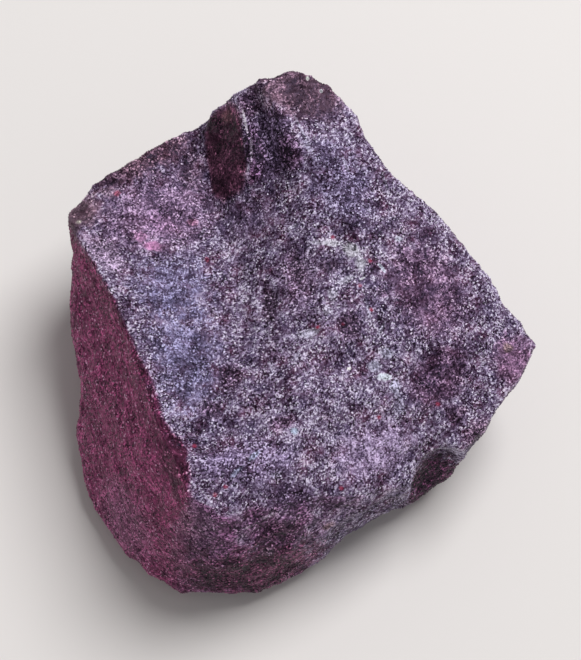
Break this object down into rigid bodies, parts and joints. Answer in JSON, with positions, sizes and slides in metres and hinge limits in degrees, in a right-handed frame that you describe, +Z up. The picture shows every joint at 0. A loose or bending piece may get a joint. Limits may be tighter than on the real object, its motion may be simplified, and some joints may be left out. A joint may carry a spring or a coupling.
{
  "type": "cinnabar mineral specimen",
  "caption": "Broken lump of massive granular cinnabar, dark purple-grey with a steely sparkle, resting on a flat underside.",
  "frame": {"origin": "middle of the bounding box, at the flat underside it rests on", "axes": "+Z up as it lies, +Y to the back where the summit and its notch are, +X to the right corner"},
  "size_m": [0.0566, 0.0568, 0.03],
  "materials": {
    "cinnabar_ore": "rough granular fracture with a steely glint"
  },
  "bodies": {
    "root": {"cinnabar_ore_specimen": "cinnabar_ore"}
  },
  "joints": []
}
